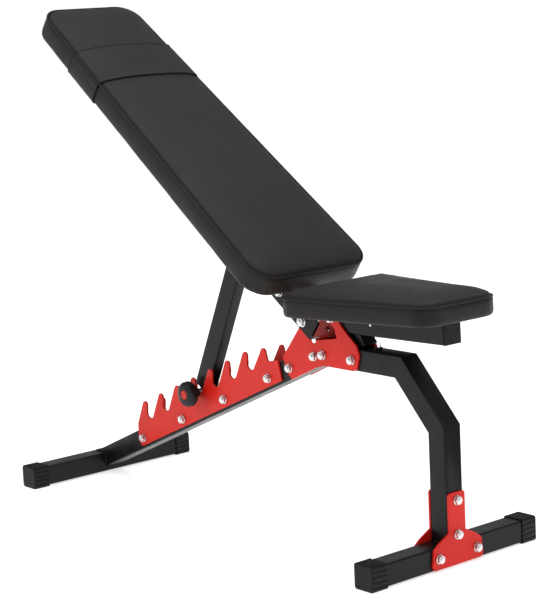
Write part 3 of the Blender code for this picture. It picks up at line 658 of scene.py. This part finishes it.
def fastener(bm, half, washer, six, shank, spin):
    """Washers, hexagon head with its chamfer, lock nut and thread end, along the local Z axis."""
    w = 0.0018
    for side in (-1, 1):
        rim = [(washer - 0.0004, side * half), (washer, side * (half + 0.0004)),
               (washer, side * (half + w - 0.0004)), (washer - 0.0004, side * (half + w))]
        lathe(bm, rim)
    for side, tall in ((-1, 0.0062), (1, 0.0058)):
        z = half + w
        loops = [ring_points(0, side * z, 48, six, six * 0.95),
                 ring_points(0, side * (z + 0.0006), 48, six),
                 ring_points(0, side * (z + tall - 0.0009), 48, six),
                 ring_points(0, side * (z + tall), 48, six, six * 0.90)]
        loops.append(ring_points(six * 0.72, side * (z + tall + 0.0001), 48))
        if side < 0:
            loops.append(ring_points(six * 0.70, side * (z + tall + 0.0010), 48))
            loops.append(ring_points(six * 0.62, side * (z + tall + 0.0013), 48))
        else:
            loops.append(ring_points(six * 0.60, side * (z + tall - 0.0002), 48))
        loft(bm, loops)
    tip = half + w + 0.0095
    thread = [(shank * 0.90, -(half + w + 0.003))]
    for k in range(5):
        z = half + w + 0.0064 + k * 0.0006
        thread.append((shank * (0.99 if k % 2 else 0.90), -z))
    thread += [(shank * 0.96, -tip + 0.0006), (shank * 0.80, -tip)]
    lathe(bm, thread)
    lathe(bm, [(shank, -half), (shank, half)], 20)
    bmesh.ops.rotate(bm, verts=bm.verts, cent=(0, 0, 0), matrix=Matrix.Rotation(spin, 3, "Z"))


def hash_of(text):
    """Small repeatable number from a name."""
    return sum((i + 1) * ord(letter) for i, letter in enumerate(text))


def fine_bolt(node, body):
    """Detailed bolt over a plain CAD one: it lies across the bench, or along it through the T-plates."""
    low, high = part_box(node)
    size = high - low
    middle = (low + high) / 2
    if size.y > size.x:
        turn = Vector((0, 1, 0)).to_track_quat("Z", "Y").to_matrix().to_4x4()
        middle.y = 0.0
        length, wide = size.y, size.x
    else:
        turn = Vector((-1, 0, 0)).to_track_quat("Z", "Y").to_matrix().to_4x4()
        middle.x = POST_X
        length, wide = size.x, size.y
    washer = max(size.z, wide) / 2
    six = 0.0098 if washer < 0.0115 else 0.0110
    half = (length - 0.0195) / 2
    bm = bmesh.new()
    fastener(bm, half, washer, six, 0.0050, radians(hash_of(node) % 60))
    obj = piece(node + "_detail", bm, LOOKS["zinc"], body, Matrix.Translation(middle) @ turn, 32)
    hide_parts(node)


for body_name, members in frame["record"]["behaviour"]["bodies"].items():
    for member in members:
        if "_bolt" in member:
            fine_bolt(member, body_name)


# ---------------------------------------------------------------- welds and small hardware
def spine_under(x):
    """Height of the spine tube's underside at x."""
    return JOINT.z + tan(SPINE_SLOPE) * (x - JOINT.x) - TUBE / 2 / cos(SPINE_SLOPE)


weld = bmesh.new()
for side in (-1, 1):
    y = side * (TUBE / 2 + 0.0006)
    top = FOOT_TOP + 0.0006
    face = REAR_X + TUBE / 2 + 0.0006
    path = straight((REAR_X - 0.014, y, top), (face, y, top), 0.0022)
    path += straight((face, y, top - 0.001), (face, y, max(spine_under(face), 0.006)), 0.0022)[1:]
    bead(weld, path, 0.0024, 0.22)
    bead(weld, straight((POST_X - 0.0225, y, top), (POST_X + 0.0225, y, top), 0.0022), 0.0022, 0.22)
rear_edge = REAR_X - 0.0150
bead(weld, straight((rear_edge, -0.0235, FOOT_TOP + 0.0006),
                    (rear_edge, 0.0235, FOOT_TOP + 0.0006), 0.0022), 0.0022, 0.22)
piece("frame_welds", weld, LOOKS["black_frame"], "frame", None, 80)

weld = bmesh.new()
for x, _ in RAILS:
    for side in (-1, 1):
        for end in (-1, 1):
            edge = x + end * 0.0206
            bead(weld, straight((edge, side * 0.004, ARM_HIGH + 0.0004),
                                (edge, side * 0.0285, ARM_HIGH + 0.0004), 0.0022), 0.0018, 0.22)
piece("rail_welds", weld, LOOKS["black_frame"], "backrest", BACK, 80)

screws = bmesh.new()
for x, half in RAILS:
    for side in (-1, 1):
        spot = Matrix.Translation((x, side * (half - 0.026), ARM_HIGH + GAP))
        before = len(screws.verts)
        lathe(screws, [(0.0085, 0.0), (0.0085, -0.0012), (0.0078, -0.0014)], 30)
        lathe(screws, [(0.0060, -0.0014), (0.0058, -0.0030), (0.0046, -0.0044), (0.0028, -0.0050),
                       (0.0026, -0.0036)], 30)
        bmesh.ops.transform(screws, matrix=spot, verts=list(screws.verts)[before:])
piece("pad_screws", screws, LOOKS["zinc"], "backrest", BACK, 40)


def grip_knob():
    """Finger grooves round the knob's rim."""
    low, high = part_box("knob")
    centre = (low + high) / 2
    ribs = bmesh.new()
    radius = (high.z - low.z) / 2
    for i in range(36):
        turn = 2 * pi * i / 36
        spot = Vector((centre.x + radius * cos(turn), 0, centre.z + radius * sin(turn)))
        front = low.y + 0.0078
        bead(ribs, [(spot.x, front, spot.z), (spot.x, front + 0.0115, spot.z)], 0.0009, sides=6)
    piece("knob_grip", ribs, LOOKS["knob_plastic"], "knob", None, 80)


grip_knob()

# ---------------------------------------------------------------- floor, light and camera
floor_mesh = bpy.data.meshes.new("floor")
bm = bmesh.new()
bmesh.ops.create_grid(bm, x_segments=1, y_segments=1, size=40.0)
bm.to_mesh(floor_mesh)
bm.free()
floor = bpy.data.objects.new("floor", floor_mesh)
scene.collection.objects.link(floor)
paper = Finish("studio_paper", Roughness=0.8, Specular_IOR_Level=0.15,
               Emission_Color=(1.0, 1.0, 1.0, 1.0), Emission_Strength=0.64)
paper.colour(paper.blend(paper.noise(3.0), (0.93, 0.93, 0.93), (0.95, 0.95, 0.95)))
floor_mesh.materials.append(paper.material)

world = bpy.data.worlds.new("studio")
scene.world = world
world.use_nodes = True
tree = world.node_tree
sky = tree.nodes["Background"]
sky.inputs["Color"].default_value = (1.0, 1.0, 1.0, 1.0)
sky.inputs["Strength"].default_value = 0.42
seen = tree.nodes.new("ShaderNodeBackground")
seen.inputs["Color"].default_value = (1.0, 1.0, 1.0, 1.0)
seen.inputs["Strength"].default_value = 1.0
path_node = tree.nodes.new("ShaderNodeLightPath")
choice = tree.nodes.new("ShaderNodeMixShader")
tree.links.new(path_node.outputs["Is Camera Ray"], choice.inputs[0])
tree.links.new(sky.outputs[0], choice.inputs[1])
tree.links.new(seen.outputs[0], choice.inputs[2])
tree.links.new(choice.outputs[0], tree.nodes["World Output"].inputs["Surface"])


def soft_light(name, place, aim, size, power):
    """Large rectangular area light."""
    data = bpy.data.lights.new(name, "AREA")
    data.shape = "RECTANGLE"
    data.size, data.size_y = size
    data.energy = power
    light = bpy.data.objects.new(name, data)
    light.location = place
    light.rotation_euler = (Vector(aim) - Vector(place)).to_track_quat("-Z", "Y").to_euler()
    scene.collection.objects.link(light)


soft_light("key", (-1.6, -3.6, 2.6), (0.0, 0.0, 0.45), (2.2, 2.2), 36)
soft_light("top", (0.3, 0.4, 4.2), (0.0, 0.0, 0.3), (3.4, 3.4), 84)
soft_light("front", (4.2, -0.6, 2.2), (0.0, 0.0, 0.4), (2.4, 1.8), 20)

AZIMUTH = radians(49.85)
ELEVATION = radians(9.47)
ROLL = radians(-2.7)
DISTANCE = 4.3415
camera_data = bpy.data.cameras.new("camera")
camera_data.lens = 113.12
camera_data.sensor_width = 36.0
camera_data.clip_end = 100.0
camera = bpy.data.objects.new("camera", camera_data)
scene.collection.objects.link(camera)
back = Vector((sin(AZIMUTH) * cos(ELEVATION), -cos(AZIMUTH) * cos(ELEVATION), sin(ELEVATION)))
right = (-back).cross(Vector((0, 0, 1))).normalized()
up = right.cross(-back)
right, up = right * cos(ROLL) + up * sin(ROLL), up * cos(ROLL) - right * sin(ROLL)
spot = Vector((0.07300, 0.0, 0.52042)) + back * DISTANCE
camera.matrix_world = Matrix((
    (right.x, up.x, back.x, spot.x),
    (right.y, up.y, back.y, spot.y),
    (right.z, up.z, back.z, spot.z),
    (0.0, 0.0, 0.0, 1.0),
))
scene.camera = camera
scene.view_settings.view_transform = "Standard"
